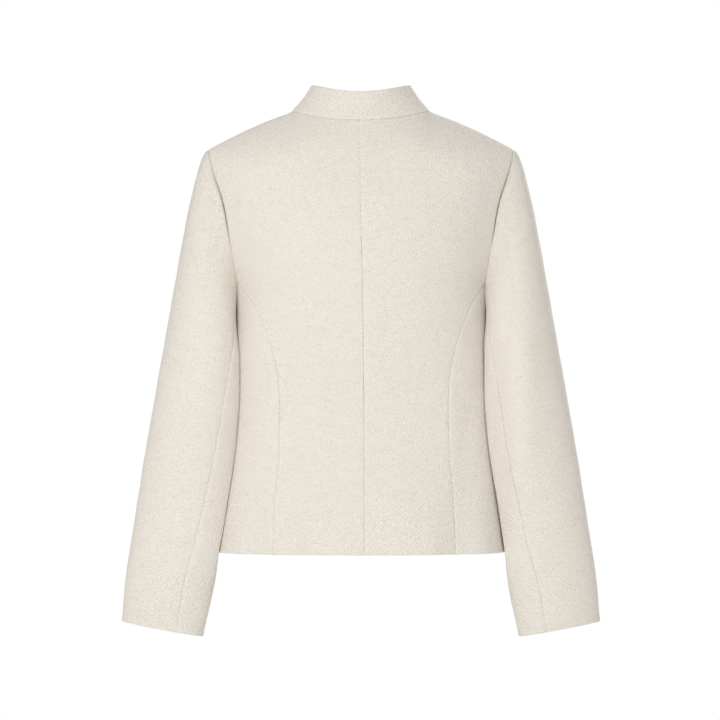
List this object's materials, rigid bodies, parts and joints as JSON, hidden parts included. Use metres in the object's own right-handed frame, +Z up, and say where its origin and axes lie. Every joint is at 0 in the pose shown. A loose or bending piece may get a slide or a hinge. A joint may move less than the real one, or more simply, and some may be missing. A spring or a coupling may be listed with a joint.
{
  "type": "cropped jacket",
  "caption": "Fitted, cropped, long-sleeved ivory tweed jacket with a stand collar and curved back seams, filled out as worn and hollow.",
  "frame": {"origin": "midway between the two points where the neckline meets the shoulder seams, where the wearer's shoulders hold the jacket", "axes": "+Z up, -Y the way the front faces, +X towards the wearer's left"},
  "size_m": [0.586, 0.2453, 0.674],
  "materials": {
    "tweed_back_left": "matte soft wool tweed",
    "tweed_side_back_left": "matte soft wool tweed",
    "tweed_front_left": "matte soft wool tweed",
    "tweed_side_front_left": "matte soft wool tweed",
    "tweed_upper_sleeve_left": "matte soft wool tweed",
    "tweed_under_sleeve_left": "matte soft wool tweed",
    "tweed_back_right": "matte soft wool tweed",
    "tweed_side_back_right": "matte soft wool tweed",
    "tweed_front_right": "matte soft wool tweed",
    "tweed_side_front_right": "matte soft wool tweed",
    "tweed_upper_sleeve_right": "matte soft wool tweed",
    "tweed_under_sleeve_right": "matte soft wool tweed",
    "tweed_collar": "matte soft wool tweed",
    "metal_hook_1": "satin wire",
    "metal_eye_1": "satin wire",
    "metal_hook_2": "satin wire",
    "metal_eye_2": "satin wire",
    "metal_hook_3": "satin wire",
    "metal_eye_3": "satin wire",
    "metal_hook_4": "satin wire",
    "metal_eye_4": "satin wire",
    "metal_hook_5": "satin wire",
    "metal_eye_5": "satin wire"
  },
  "bodies": {
    "root": {"back_left": "tweed_back_left", "side_back_left": "tweed_side_back_left", "front_left": "tweed_front_left", "side_front_left": "tweed_side_front_left", "upper_sleeve_left": "tweed_upper_sleeve_left", "under_sleeve_left": "tweed_under_sleeve_left", "back_right": "tweed_back_right", "side_back_right": "tweed_side_back_right", "front_right": "tweed_front_right", "side_front_right": "tweed_side_front_right", "upper_sleeve_right": "tweed_upper_sleeve_right", "under_sleeve_right": "tweed_under_sleeve_right", "collar": "tweed_collar", "hook_1": "metal_hook_1", "eye_1": "metal_eye_1", "hook_2": "metal_hook_2", "eye_2": "metal_eye_2", "hook_3": "metal_hook_3", "eye_3": "metal_eye_3", "hook_4": "metal_hook_4", "eye_4": "metal_eye_4", "hook_5": "metal_hook_5", "eye_5": "metal_eye_5"}
  },
  "joints": []
}
